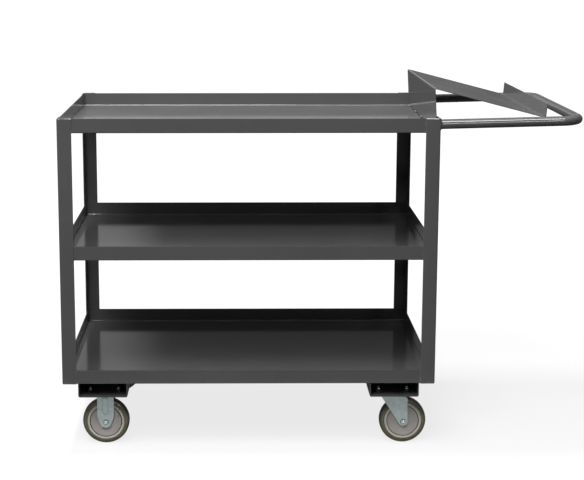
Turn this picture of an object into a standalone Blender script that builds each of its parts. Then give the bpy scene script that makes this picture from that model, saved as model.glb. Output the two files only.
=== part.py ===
"""Order picking trolley: a welded sheet steel cart with three tray shelves between four angle
posts, a tube push handle with a sloping writing board, and four casters under two channels.

Units are metres and +Z is up.  The floor is z = 0, the handle points to +X and the long front
is at -Y.  X is zero half way between the frame's plain end and the far side of the handle.
"""
from math import atan2, cos, hypot, pi, radians, sin, sqrt, tan

import bmesh
import bpy
from mathutils import Matrix, Vector

# Clearance between pieces that touch
gap = 0.0003

# Frame of posts and shelves
frame_length = 0.9906
frame_depth = 0.6096
post_height = 0.7112
post_flange = 0.0381
post_wall = 0.0027
post_bend = 0.0036
sheet_wall = 0.0019
sheet_bend = 0.0032
shelf_lip = 0.0381

# Caster channels under the bottom shelf
channel_width = 0.1312
channel_height = 0.0381
channel_wall = 0.0027
channel_bend = 0.0042
channel_inset = 0.0409
channel_end_inset = 0.0060

# Push handle
handle_reach = 0.3810
handle_tube = 0.0254
handle_wall = 0.0019
handle_inset = 0.01905
handle_drop = 0.0172
handle_rise = radians(1.45)
handle_bend = 0.0500

# Writing board, one bent sheet that stands in the top tray
board_rise = 0.0754
board_length = 0.2989
board_slope = radians(14.67)
board_lip = 0.0350
board_lip_lean = radians(4.6)
riser_lean = radians(3.3)

# Casters as wholes
caster_height = 0.1556
caster_inset = 0.0900
swivel_trail = 0.0330

# Wheel
wheel_diameter = 0.1270
tread_width = 0.03175
tread_depth = 0.0132
tread_shoulder = 0.0022
tread_crown = 0.0010
core_disc_radius = 0.0426
core_disc_width = 0.0290
core_rim_width = 0.0302
groove_width = 0.0020
groove_depth = 0.0018
rim_edge_drop = 0.0012
tread_side_step = 0.0044
hub_radius = 0.0140
hub_length = 0.0365

# Axle
axle_diameter = 0.0079
axle_bush_diameter = 0.0160
axle_bush_length = 0.0390
axle_head_flats = 0.0127
axle_head_height = 0.0053
axle_nut_height = 0.0078
axle_thread_end = 0.0025

# Pressed steel of plates and forks
plate_length = 0.1143
plate_width = 0.1016
plate_corner = 0.0100
plate_wall = 0.0034
fork_wall = 0.0032
fork_bend = 0.0060
bolt_pitch = 0.0762

# Rigid fork
rigid_leg_width = 0.0452
rigid_shoulder_height = 0.0805
rigid_tip_radius = 0.0152
rib_width = 0.0186
rib_raise = 0.0014
rib_draft = 0.0022
rib_tip_height = 0.0795
rib_shoulder_drop = 0.0100

# Swivel fork and its bearing
swivel_tip_radius = 0.0122
swivel_leg_front = 0.0305
swivel_leg_flat = 0.0200
swivel_corner_drop = 0.0100
swivel_leg_toe = 0.0015
crown_radius = 0.0310
race_depth = 0.0115
race_skirt_radius = 0.0310
race_skirt_wall = 0.0024
race_skirt_lap = 0.0030
ball_count = 10
ball_seat_gap = 0.0004
cage_width = 0.0042
cage_height = 0.0016
kingpin_diameter = 0.0127
kingpin_head_flats = 0.0190
kingpin_head_height = 0.0070

# Bolts that hold the casters
bolt_diameter = 0.0095
bolt_hole = 0.0106
bolt_flats = 0.0143
bolt_head_height = 0.0060
bolt_nut_height = 0.0082
bolt_thread_end = 0.0040

# Sides of round forms
wheel_sides = 32
tube_sides = 16
bore_sides = 10
ring_sides = 16
crown_sides = 20
hole_sides = 10
shank_sides = 8
bush_sides = 12
ball_sides = 6
ball_bands = 4
bend_steps = 3
handle_bend_steps = 5
tip_steps = 8

# How the solids are made
cutter_reach = 3
weld_distance = 0.000005
turn_merge = 0.00001
sharp_angle = radians(35)
marker_size = 0.03

# Heights and places that follow from the sizes above
frame_bottom = caster_height + channel_height
frame_top = frame_bottom + post_height
frame_x = -handle_reach / 2
frame_end = frame_x + frame_length / 2
shelf_pitch = (post_height - shelf_lip) / 2
shelf_clear = post_wall + gap
shelf_length = frame_length - 2 * shelf_clear
shelf_depth = frame_depth - 2 * shelf_clear
channel_x = frame_length / 2 - channel_inset - channel_width / 2
caster_y = frame_depth / 2 - caster_inset
axle_height = wheel_diameter / 2
plate_top = caster_height - gap
plate_bottom = plate_top - plate_wall
leg_inner = axle_bush_length / 2 + gap
leg_outer = leg_inner + fork_wall
crown_top = plate_bottom - race_depth
crown_bottom = crown_top - fork_wall
core_radius = wheel_diameter / 2 - tread_depth


# Scene and materials

def clear_scene():
    for obj in list(bpy.data.objects):
        bpy.data.objects.remove(obj, do_unlink=True)


def new_collection(name):
    collection = bpy.data.collections.new(name)
    bpy.context.scene.collection.children.link(collection)
    return collection


def finish(name, colour, roughness, metallic):
    material = bpy.data.materials.new(name)
    material.use_nodes = True
    shader = material.node_tree.nodes["Principled BSDF"]
    shader.inputs["Base Color"].default_value = (*colour, 1.0)
    shader.inputs["Roughness"].default_value = roughness
    shader.inputs["Metallic"].default_value = metallic
    material.diffuse_color = (*colour, 1.0)
    return material


# Outlines

def rounded(corners, closed=True):
    """Points of an outline whose corners are (x, y, radius), with an arc at each radius."""
    points = []
    count = len(corners)
    for i, (x, y, radius) in enumerate(corners):
        here = Vector((x, y))
        if radius <= 0 or (not closed and i in (0, count - 1)):
            points.append(here)
            continue
        before = (Vector(corners[i - 1][:2]) - here).normalized()
        after = (Vector(corners[(i + 1) % count][:2]) - here).normalized()
        half = before.angle(after) / 2
        centre = here + (before + after).normalized() * (radius / sin(half))
        start = here + before * (radius / tan(half)) - centre
        end = here + after * (radius / tan(half)) - centre
        sweep = start.angle_signed(end)
        for k in range(bend_steps + 1):
            turn = Matrix.Rotation(-sweep * k / bend_steps, 2)
            points.append(centre + turn @ start)
    return points


def rectangle(length, width, radius=0.0):
    half_x = length / 2
    half_y = width / 2
    return rounded([(-half_x, -half_y, radius), (half_x, -half_y, radius),
                    (half_x, half_y, radius), (-half_x, half_y, radius)])


def arc(centre_x, centre_y, radius, start, end, steps):
    angles = [start + (end - start) * k / steps for k in range(steps + 1)]
    return [Vector((centre_x + radius * cos(a), centre_y + radius * sin(a))) for a in angles]


# Solids

def link(obj):
    cutters.objects.link(obj)
    obj.display_type = 'WIRE'
    obj.hide_render = True
    return obj


def from_bmesh(name, bm):
    bmesh.ops.recalc_face_normals(bm, faces=bm.faces)
    mesh = bpy.data.meshes.new(name)
    bm.to_mesh(mesh)
    bm.free()
    return link(bpy.data.objects.new(name, mesh))


def cylinder(name, radius, height, sides, centre=(0, 0, 0), axis='Z'):
    bm = bmesh.new()
    bmesh.ops.create_cone(bm, cap_ends=True, segments=sides, radius1=radius, radius2=radius,
                          depth=height)
    if axis == 'Y':
        bmesh.ops.rotate(bm, verts=bm.verts, matrix=Matrix.Rotation(pi / 2, 3, 'X'))
    bmesh.ops.translate(bm, verts=bm.verts, vec=centre)
    return from_bmesh(name, bm)


def hexagon(name, flats, height, centre=(0, 0, 0), axis='Z'):
    return cylinder(name, flats / sqrt(3), height, 6, centre, axis)


def prism(name, outline, depth):
    """A flat outline in local XY, given thickness along local Z."""
    curve = bpy.data.curves.new(name, 'CURVE')
    curve.dimensions = '2D'
    curve.fill_mode = 'BOTH'
    curve.extrude = depth / 2
    spline = curve.splines.new('POLY')
    spline.points.add(len(outline) - 1)
    for point, (x, y) in zip(spline.points, outline):
        point.co = (x, y, 0, 1)
    spline.use_cyclic_u = True
    return link(bpy.data.objects.new(name, curve))


def upright(obj, y=0.0):
    """Turns a prism drawn in XY so that its outline stands in XZ, at the given Y."""
    obj.matrix_world = Matrix.Translation((0, y, 0)) @ Matrix.Rotation(pi / 2, 4, 'X')
    return solid(obj)


def lengthwise(obj):
    """Turns a prism drawn in XY so that its outline stands in YZ."""
    obj.matrix_world = Matrix.Rotation(pi / 2, 4, 'Z') @ Matrix.Rotation(pi / 2, 4, 'X')
    return solid(obj)


def turned(name, profile, sides):
    """A profile of (radius, height), down its outer side first, turned about Z."""
    bm = bmesh.new()
    verts = [bm.verts.new((radius, 0, height)) for radius, height in profile]
    for first, second in zip(verts, verts[1:] + verts[:1]):
        bm.edges.new((first, second))
    mesh = bpy.data.meshes.new(name)
    bm.to_mesh(mesh)
    bm.free()
    obj = link(bpy.data.objects.new(name, mesh))
    screw = obj.modifiers.new("Turn", 'SCREW')
    screw.axis = 'Z'
    screw.steps = sides
    screw.render_steps = sides
    screw.use_merge_vertices = True
    screw.merge_threshold = turn_merge
    return solid(obj)


def solid(obj):
    """Replaces an object by the mesh that it evaluates to, in world space, with welded caps."""
    bpy.context.view_layer.update()
    graph = bpy.context.evaluated_depsgraph_get()
    mesh = bpy.data.meshes.new_from_object(obj.evaluated_get(graph))
    mesh.transform(obj.matrix_world)
    bm = bmesh.new()
    bm.from_mesh(mesh)
    bmesh.ops.remove_doubles(bm, verts=bm.verts, dist=weld_distance)
    bmesh.ops.recalc_face_normals(bm, faces=bm.faces)
    bm.to_mesh(mesh)
    bm.free()
    name = obj.name
    bpy.data.objects.remove(obj, do_unlink=True)
    return link(bpy.data.objects.new(name, mesh))


def combine(target, tools, operation):
    """Joins, cuts or trims a solid with others, and removes the others."""
    for tool in tools:
        boolean = target.modifiers.new(tool.name, 'BOOLEAN')
        boolean.operation = operation
        boolean.object = tool
        boolean.solver = 'EXACT'
    result = solid(target)
    for tool in tools:
        bpy.data.objects.remove(tool, do_unlink=True)
    return result


def take_mesh(obj):
    """The finished mesh of a solid, ready to be shared by its copies."""
    mesh = obj.data
    bpy.data.objects.remove(obj, do_unlink=True)
    mesh.shade_smooth()
    mesh.set_sharp_from_angle(angle=sharp_angle)
    return mesh


def place(name, mesh, material, location=(0, 0, 0), parent=None):
    if not mesh.materials:
        mesh.materials.append(material)
    obj = bpy.data.objects.new(name, mesh)
    obj.location = location
    obj.parent = parent
    parts.objects.link(obj)


def pivot(name, location, parent=None):
    empty = bpy.data.objects.new(name, None)
    empty.empty_display_size = marker_size
    empty.location = location
    empty.parent = parent
    parts.objects.link(empty)
    return empty


# Frame

def shelf_mesh():
    """A tray with four lips, folded from one sheet: an open box with bent lower edges."""
    bm = bmesh.new()
    bmesh.ops.create_cube(bm, size=1.0)
    bmesh.ops.scale(bm, verts=bm.verts, vec=(shelf_length, shelf_depth, shelf_lip))
    bmesh.ops.translate(bm, verts=bm.verts, vec=(0, 0, shelf_lip / 2))
    top = [face for face in bm.faces if face.normal.z > 0.5]
    bmesh.ops.delete(bm, geom=top, context='FACES_ONLY')
    floor_edges = [edge for edge in bm.edges if all(v.co.z < sheet_wall / 2 for v in edge.verts)]
    bmesh.ops.bevel(bm, geom=floor_edges, offset=sheet_bend, offset_type='OFFSET',
                    segments=bend_steps, profile=0.5, affect='EDGES')
    tray = from_bmesh("tray", bm)
    return take_mesh(thicken(tray))


def thicken(sheet):
    """Gives an open sheet its wall, inward from the side that its faces point to."""
    wall = sheet.modifiers.new("Wall", 'SOLIDIFY')
    wall.thickness = sheet_wall
    wall.offset = -1.0
    wall.use_even_offset = True
    return solid(sheet)


def post_mesh(side_x, side_y):
    """An angle whose outer corner is at the origin and whose flanges run inward."""
    inner = post_bend - post_wall
    corners = [(0, 0, post_bend), (post_flange, 0, 0), (post_flange, post_wall, 0),
               (post_wall, post_wall, inner), (post_wall, post_flange, 0), (0, post_flange, 0)]
    outline = rounded(corners)
    post = prism("post", [(-side_x * x, -side_y * y) for x, y in outline], post_height)
    return take_mesh(solid(post))


def channel_mesh():
    """A channel along Y, open upward, with holes for the bolts of its two casters."""
    half = channel_width / 2
    inner = half - channel_wall
    floor = caster_height + channel_wall
    top = frame_bottom - gap
    inner_bend = channel_bend - channel_wall
    section = rounded([(-half, caster_height, channel_bend), (half, caster_height, channel_bend),
                       (half, top, 0), (inner, top, 0), (inner, floor, inner_bend),
                       (-inner, floor, inner_bend), (-inner, top, 0), (-half, top, 0)])
    channel = prism("channel", section, frame_depth - 2 * channel_end_inset)
    channel = upright(channel)
    holes = []
    for side in (-1, 1):
        for x, y in bolt_places():
            centre = (x, side * caster_y + y, caster_height + channel_wall / 2)
            holes.append(cylinder("hole", bolt_hole / 2, cutter_reach * channel_wall, shank_sides,
                                  centre))
    return take_mesh(combine(channel, holes, 'DIFFERENCE'))


def add_frame():
    shelf = shelf_mesh()
    for level, name in enumerate(("bottom_shelf", "middle_shelf", "top_shelf")):
        height = frame_bottom + level * shelf_pitch
        place(name, shelf, paint, (frame_x, 0, height))
    for side_x, end_name in ((-1, "plain_end"), (1, "handle_end")):
        for side_y, face_name in ((-1, "front"), (1, "rear")):
            corner = (frame_x + side_x * frame_length / 2, side_y * frame_depth / 2,
                      frame_bottom + post_height / 2)
            place(f"corner_post_{end_name}_{face_name}", post_mesh(side_x, side_y), paint, corner)
    channel = channel_mesh()
    place("caster_channel_plain_end", channel, dark_paint, (frame_x - channel_x, 0, 0))
    place("caster_channel_handle_end", channel, dark_paint, (frame_x + channel_x, 0, 0))


# Push handle

def handle_path():
    """The centre line seen from above: out along one leg, across, and back along the other."""
    reach = (handle_reach - gap - handle_tube / 2) / cos(handle_rise)
    side = frame_depth / 2 - handle_inset
    steps = handle_bend_steps
    near = arc(reach - handle_bend, -side + handle_bend, handle_bend, -pi / 2, 0, steps)
    far = arc(reach - handle_bend, side - handle_bend, handle_bend, 0, pi / 2, steps)
    return [Vector((0, -side))] + near + far + [Vector((0, side))]


def handle_tube_solid(name, diameter, sides, run_over):
    path = handle_path()
    path[0].x -= run_over
    path[-1].x -= run_over
    curve = bpy.data.curves.new(name, 'CURVE')
    curve.dimensions = '3D'
    curve.bevel_depth = diameter / 2
    curve.bevel_resolution = sides // 2 - 2
    curve.use_fill_caps = True
    spline = curve.splines.new('POLY')
    spline.points.add(len(path) - 1)
    for point, (x, y) in zip(spline.points, path):
        point.co = (x, y, 0, 1)
    obj = link(bpy.data.objects.new(name, curve))
    start = Vector((frame_end + gap, 0, frame_top - handle_drop))
    obj.matrix_world = Matrix.Translation(start) @ Matrix.Rotation(-handle_rise, 4, 'Y')
    return solid(obj)


def add_handle():
    """A bent tube whose ends butt on the posts: a bore cut from a rod, trimmed square."""
    rod = handle_tube_solid("rod", handle_tube, tube_sides, handle_tube / 4)
    bore = handle_tube_solid("bore", handle_tube - 2 * handle_wall, bore_sides, handle_tube)
    trim = rectangle(handle_tube, frame_depth)
    block = prism("trim", trim, 2 * handle_tube)
    block.location = (frame_end + gap - handle_tube / 2, 0, frame_top - handle_drop)
    handle = combine(rod, [bore, solid(block)], 'DIFFERENCE')
    place("push_handle", take_mesh(handle), paint)


# Writing board

def board_half_width():
    """Half the board, so that its low corners just clear the two handle legs."""
    low = frame_top + board_rise - board_length * sin(board_slope) - sheet_wall
    run = fold_x() + board_length * cos(board_slope) - frame_end
    leg = frame_top - handle_drop + run * tan(handle_rise)
    off = min(abs(low - leg), handle_tube / 2)
    chord = sqrt((handle_tube / 2) ** 2 - off ** 2)
    return frame_depth / 2 - handle_inset - chord - gap


def riser_foot():
    """The tray side of the riser where it stands on the top shelf, as (x, z)."""
    lip_inside = frame_end - shelf_clear - sheet_wall
    return lip_inside - gap - sheet_wall, frame_top - shelf_lip + sheet_wall + gap


def fold_x():
    foot_x, foot_z = riser_foot()
    return foot_x - (frame_top + board_rise - foot_z) * tan(riser_lean)


def add_board():
    """Riser, sloping board and low lip, bent from one sheet."""
    foot_x, foot_z = riser_foot()
    foot_z += sheet_bend - sheet_wall
    fold = (fold_x(), frame_top + board_rise, sheet_bend)
    low_x = fold[0] + board_length * cos(board_slope)
    low_z = fold[1] - board_length * sin(board_slope)
    lip_x = low_x + board_lip * sin(board_lip_lean)
    lip_z = low_z + board_lip * cos(board_lip_lean)
    profile = rounded([(foot_x, foot_z, 0), fold, (low_x, low_z, sheet_bend - sheet_wall),
                       (lip_x, lip_z, 0)], closed=False)
    half = board_half_width()
    bm = bmesh.new()
    verts = [bm.verts.new((x, -half, z)) for x, z in profile]
    edges = [bm.edges.new(pair) for pair in zip(verts, verts[1:])]
    swept = bmesh.ops.extrude_edge_only(bm, edges=edges)["geom"]
    far = [item for item in swept if isinstance(item, bmesh.types.BMVert)]
    bmesh.ops.translate(bm, verts=far, vec=(0, 2 * half, 0))
    board = from_bmesh("board", bm)
    upward = sum(face.normal.z for face in board.data.polygons) > 0
    if not upward:
        board.data.flip_normals()
    place("writing_board", take_mesh(thicken(board)), paint)


# Caster pieces, each modelled about its own centre

def bolt_places():
    half = bolt_pitch / 2
    return [(x, y) for x in (-half, half) for y in (-half, half)]


def plate_blank():
    plate = prism("plate", rectangle(plate_length, plate_width, plate_corner), plate_wall)
    plate.location = (0, 0, plate_top - plate_wall / 2)
    return solid(plate)


def plate_holes():
    return [cylinder("hole", bolt_hole / 2, cutter_reach * plate_wall, shank_sides,
                     (x, y, plate_top - plate_wall / 2)) for x, y in bolt_places()]


def fork_section(top, length):
    """An inverted U of bent plate, running along X, long enough for any leg."""
    low = axle_height - rigid_tip_radius - swivel_tip_radius
    inner_bend = fork_bend - fork_wall
    section = rounded([(-leg_outer, low, 0), (-leg_inner, low, 0),
                       (-leg_inner, top - fork_wall, inner_bend),
                       (leg_inner, top - fork_wall, inner_bend), (leg_inner, low, 0),
                       (leg_outer, low, 0), (leg_outer, top, fork_bend),
                       (-leg_outer, top, fork_bend)])
    return lengthwise(prism("section", section, length))


def axle_hole(x):
    return cylinder("axle hole", axle_diameter / 2 + gap, cutter_reach * leg_outer, hole_sides,
                    (x, 0, axle_height), 'Y')


def tangent_angle(x, z, centre_x, centre_z, radius, side):
    """Angle at which a line from (x, z) touches a circle, on the given side."""
    distance = hypot(centre_x - x, centre_z - z)
    return atan2(z - centre_z, x - centre_x) + side * (pi / 2 - atan2(radius, sqrt(
        distance ** 2 - radius ** 2)))


def rib(side):
    """The pressed rib on a rigid leg, a pointed tongue with drafted sides."""
    half = rib_width / 2
    top = crown_bottom
    outline = [(-half, top), (half, top), (half, rib_tip_height + rib_shoulder_drop),
               (0, rib_tip_height), (-half, rib_tip_height + rib_shoulder_drop)]
    bm = bmesh.new()
    root = side * (leg_inner + fork_wall / 2)
    crest = side * (leg_outer + rib_raise)
    base = [bm.verts.new((x, root, z)) for x, z in outline]
    shrink = 1 - 2 * rib_draft / rib_width
    middle = (top + rib_tip_height) / 2
    crown = [bm.verts.new((x * shrink, crest, middle + (z - middle) * shrink))
             for x, z in outline]
    bm.faces.new(base)
    bm.faces.new(crown)
    for i in range(len(outline)):
        j = (i + 1) % len(outline)
        bm.faces.new((base[i], base[j], crown[j], crown[i]))
    return from_bmesh("rib", bm)


def rigid_fork_mesh():
    """Top plate and two tapered legs of a fixed caster."""
    half = rigid_leg_width / 2
    weld_top = plate_bottom + plate_wall / 2
    angle = tangent_angle(half, rigid_shoulder_height, 0, axle_height, rigid_tip_radius, -1)
    tip = arc(0, axle_height, rigid_tip_radius, angle, -pi - angle, tip_steps)
    outline = [Vector((-half, weld_top)), Vector((half, weld_top)),
               Vector((half, rigid_shoulder_height))] + tip
    outline.append(Vector((-half, rigid_shoulder_height)))
    fork = fork_section(weld_top, plate_length)
    fork = combine(fork, [upright(prism("side", outline, cutter_reach * leg_outer))], 'INTERSECT')
    fork = combine(fork, [plate_blank(), rib(-1), rib(1)], 'UNION')
    fork = combine(fork, plate_holes() + [axle_hole(0)], 'DIFFERENCE')
    return take_mesh(fork)


def swivel_fork_mesh():
    """Raking legs and a round crown that turns under the top plate, about the kingpin."""
    axle_x = swivel_trail
    back = axle_x + swivel_tip_radius
    corner_z = crown_top - swivel_corner_drop
    start = tangent_angle(back - swivel_leg_toe, corner_z, axle_x, axle_height,
                          swivel_tip_radius, -1)
    end = tangent_angle(-swivel_leg_front, crown_top, axle_x, axle_height, swivel_tip_radius, 1)
    tip = arc(axle_x, axle_height, swivel_tip_radius, start, end - 2 * pi, tip_steps)
    outline = [Vector((-swivel_leg_front, crown_top)), Vector((swivel_leg_flat, crown_top)),
               Vector((back - swivel_leg_toe, corner_z))] + tip
    fork = fork_section(crown_top, 4 * crown_radius)
    fork = combine(fork, [upright(prism("side", outline, cutter_reach * leg_outer))], 'INTERSECT')
    crown = cylinder("crown", crown_radius, fork_wall, crown_sides,
                     (0, 0, crown_top - fork_wall / 2))
    fork = combine(fork, [crown], 'UNION')
    pin = cylinder("pin hole", kingpin_diameter / 2 + gap, cutter_reach * fork_wall, ring_sides,
                   (0, 0, crown_top - fork_wall / 2))
    fork = combine(fork, [pin, axle_hole(axle_x)], 'DIFFERENCE')
    return take_mesh(fork)


def swivel_plate_mesh():
    """Top plate with the pressed skirt of the bearing's upper race."""
    roof = plate_bottom - race_depth + 2 * ball_radius() + 2 * gap
    inner = race_skirt_radius - race_skirt_wall
    skirt_bottom = crown_top + race_skirt_lap
    bore = kingpin_diameter / 2 + gap
    weld = plate_top - plate_wall / 2
    race = turned("race", [(race_skirt_radius, weld), (race_skirt_radius, skirt_bottom),
                           (inner, skirt_bottom), (inner, roof), (bore, roof), (bore, weld)],
                  crown_sides)
    hole = cylinder("pin hole", (bore + inner) / 2, cutter_reach * plate_wall, ring_sides,
                    (0, 0, plate_top))
    plate = combine(plate_blank(), [hole], 'DIFFERENCE')
    collar_low = weld - plate_wall / 4
    collar = turned("collar", [(inner, plate_top), (inner, collar_low), (bore, collar_low),
                               (bore, plate_top)], crown_sides)
    plate = combine(plate, [race, collar], 'UNION')
    return take_mesh(combine(plate, plate_holes(), 'DIFFERENCE'))


def ball_radius():
    """The race's roof lies one wall above the plate's underside, and balls fill what is left."""
    return (race_depth - plate_wall) / 2 - gap


def ball_pitch_radius():
    """Balls run just inside the flats of the faceted skirt."""
    skirt_inside = (race_skirt_radius - race_skirt_wall) * cos(pi / crown_sides)
    return skirt_inside - ball_seat_gap - ball_radius()


def ball_race_mesh():
    """Bearing balls held in a flat ring cage."""
    height = crown_top + gap + ball_radius()
    pitch = ball_pitch_radius()
    inner = pitch - cage_width / 2
    outer = pitch + cage_width / 2
    low = height - cage_height / 2
    high = height + cage_height / 2
    cage = turned("cage", [(outer, high), (outer, low), (inner, low), (inner, high)], ball_count)
    balls = []
    for i in range(ball_count):
        angle = 2 * pi * (i + 0.5) / ball_count
        bm = bmesh.new()
        bmesh.ops.create_uvsphere(bm, u_segments=ball_sides, v_segments=ball_bands,
                                  radius=ball_radius())
        centre = (pitch * cos(angle), pitch * sin(angle), height)
        bmesh.ops.translate(bm, verts=bm.verts, vec=centre)
        balls.append(from_bmesh("ball", bm))
    return take_mesh(combine(cage, balls, 'UNION'))


def kingpin_mesh():
    """The pin through plate, balls and crown, with its hexagon head below the crown."""
    head_top = crown_bottom - gap
    shank_low = head_top - kingpin_head_height / 2
    shank = cylinder("kingpin", kingpin_diameter / 2, plate_top - shank_low, ring_sides,
                     (0, 0, (plate_top + shank_low) / 2))
    head = hexagon("head", kingpin_head_flats, kingpin_head_height,
                   (0, 0, head_top - kingpin_head_height / 2))
    return take_mesh(combine(shank, [head], 'UNION'))


def along_y(obj):
    """Turns a piece made about Z so that it lies about Y."""
    obj.matrix_world = Matrix.Rotation(pi / 2, 4, 'X')
    return solid(obj)


def mirrored(half_profile):
    """A profile down its outer side, from the half of it that lies above height zero."""
    return half_profile + [(radius, -height) for radius, height in reversed(half_profile)]


def wheel_core_mesh():
    """Moulded wheel body: hub, flat disc, round groove and rim."""
    bore = axle_bush_diameter / 2 + gap
    half_rim = core_rim_width / 2
    half_disc = core_disc_width / 2
    half_hub = hub_length / 2
    rise = half_hub - half_disc
    upper = [(bore, half_hub), (hub_radius, half_hub), (hub_radius + rise / 2, half_disc),
             (core_disc_radius, half_disc),
             (core_disc_radius + groove_width / 2, half_disc - groove_depth),
             (core_disc_radius + groove_width, half_rim), (core_radius, half_rim - rim_edge_drop)]
    core = turned("core", mirrored(upper), wheel_sides)
    return take_mesh(along_y(core))


def wheel_tread_mesh():
    """Rubber tyre with bulging sides, round shoulders and a lightly crowned tread."""
    outer = wheel_diameter / 2
    half = tread_width / 2
    seat = core_radius + gap
    upper = [(seat, core_rim_width / 2 - rim_edge_drop), (seat + tread_side_step, half),
             (outer - 2 * tread_shoulder, half), (outer - tread_crown, half - tread_shoulder),
             (outer, half / 2)]
    tread = turned("tread", mirrored(upper), wheel_sides)
    return take_mesh(along_y(tread))


def axle_bush_mesh():
    outer = axle_bush_diameter / 2
    inner = axle_diameter / 2 + gap
    half = axle_bush_length / 2
    bush = turned("bush", [(outer, half), (outer, -half), (inner, -half), (inner, half)],
                  bush_sides)
    return take_mesh(along_y(bush))


def axle_bolt_mesh():
    """Hexagon bolt through both legs, head to the front."""
    head_y = -(leg_outer + gap + axle_head_height / 2)
    end_y = leg_outer + gap + axle_nut_height + axle_thread_end
    shank = cylinder("axle bolt", axle_diameter / 2, end_y - head_y, hole_sides,
                     (0, (head_y + end_y) / 2, 0), 'Y')
    head = hexagon("head", axle_head_flats, axle_head_height, (0, head_y, 0), 'Y')
    return take_mesh(combine(shank, [head], 'UNION'))


def axle_nut_mesh():
    middle = leg_outer + gap + axle_nut_height / 2
    nut = hexagon("axle nut", axle_head_flats, axle_nut_height, (0, middle, 0), 'Y')
    hole = cylinder("hole", axle_diameter / 2 + gap, 2 * axle_nut_height, hole_sides,
                    (0, middle, 0), 'Y')
    return take_mesh(combine(nut, [hole], 'DIFFERENCE'))


def mount_bolt_mesh():
    """Bolt with its nut: head under the caster plate, nut on the channel's floor."""
    head_top = plate_bottom - gap
    nut_low = caster_height + channel_wall + gap
    end = nut_low + bolt_nut_height + bolt_thread_end
    low = head_top - bolt_head_height / 2
    shank = cylinder("bolt", bolt_diameter / 2, end - low, shank_sides, (0, 0, (end + low) / 2))
    head = hexagon("head", bolt_flats, bolt_head_height, (0, 0, head_top - bolt_head_height / 2))
    nut = hexagon("nut", bolt_flats, bolt_nut_height, (0, 0, nut_low + bolt_nut_height / 2))
    return take_mesh(combine(shank, [head, nut], 'UNION'))


# Casters

def add_wheel(caster, axle):
    place(f"{caster}_axle_bolt", meshes["axle_bolt"], zinc, parent=axle)
    place(f"{caster}_axle_nut", meshes["axle_nut"], zinc, parent=axle)
    place(f"{caster}_axle_bush", meshes["axle_bush"], zinc, parent=axle)
    spin = pivot(f"{caster}_wheel_axis", (0, 0, 0), axle)
    place(f"{caster}_wheel_core", meshes["wheel_core"], core_plastic, parent=spin)
    place(f"{caster}_wheel_tread", meshes["wheel_tread"], tread_rubber, parent=spin)


def add_mount_bolts(caster, x, y):
    for number, (offset_x, offset_y) in enumerate(bolt_places(), start=1):
        place(f"{caster}_mount_bolt_{number}", meshes["mount_bolt"], zinc,
              (x + offset_x, y + offset_y, 0))


def add_casters():
    for side, face in ((-1, "front"), (1, "rear")):
        y = side * caster_y
        rigid_x = frame_x - channel_x
        rigid = f"rigid_{face}"
        place(f"{rigid}_fork", meshes["rigid_fork"], zinc, (rigid_x, y, 0))
        add_wheel(rigid, pivot(f"{rigid}_axle_centre", (rigid_x, y, axle_height)))
        add_mount_bolts(rigid, rigid_x, y)
        swivel_x = frame_x + channel_x
        swivel = f"swivel_{face}"
        place(f"{swivel}_top_plate", meshes["swivel_plate"], zinc, (swivel_x, y, 0))
        place(f"{swivel}_kingpin", meshes["kingpin"], zinc, (swivel_x, y, 0))
        place(f"{swivel}_ball_race", meshes["ball_race"], steel, (swivel_x, y, 0))
        turn = pivot(f"{swivel}_swivel_axis", (swivel_x, y, 0))
        place(f"{swivel}_fork", meshes["swivel_fork"], zinc, parent=turn)
        add_wheel(swivel, pivot(f"{swivel}_axle_centre", (swivel_trail, 0, axle_height), turn))
        add_mount_bolts(swivel, swivel_x, y)


clear_scene()
parts = new_collection("order_picking_trolley")
cutters = new_collection("cutters")
paint = finish("grey_powder_coat", (0.075, 0.075, 0.077), 0.42, 0.0)
dark_paint = finish("dark_powder_coat", (0.030, 0.030, 0.031), 0.50, 0.0)
zinc = finish("zinc_plated_steel", (0.48, 0.56, 0.55), 0.38, 0.9)
steel = finish("bearing_steel", (0.55, 0.55, 0.56), 0.25, 1.0)
core_plastic = finish("grey_moulded_plastic", (0.27, 0.25, 0.24), 0.45, 0.0)
tread_rubber = finish("olive_grey_rubber", (0.080, 0.075, 0.045), 0.35, 0.0)
meshes = {
    "rigid_fork": rigid_fork_mesh(),
    "swivel_fork": swivel_fork_mesh(),
    "swivel_plate": swivel_plate_mesh(),
    "ball_race": ball_race_mesh(),
    "kingpin": kingpin_mesh(),
    "wheel_core": wheel_core_mesh(),
    "wheel_tread": wheel_tread_mesh(),
    "axle_bush": axle_bush_mesh(),
    "axle_bolt": axle_bolt_mesh(),
    "axle_nut": axle_nut_mesh(),
    "mount_bolt": mount_bolt_mesh(),
}
add_frame()
add_handle()
add_board()
add_casters()
bpy.context.view_layer.update()
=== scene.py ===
"""Looks of the order picking trolley: satin grey powder coat on welded sheet steel, zinc plated
casters, grey moulded wheels with olive tyres, and a plain white studio around them.

Units are metres in the frame's own coordinates: +X to the push handle, -Y to the long front.
"""
import random
from math import cos, pi, radians, sin, sqrt

import bmesh
import bpy
from mathutils import Matrix, Vector


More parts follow.
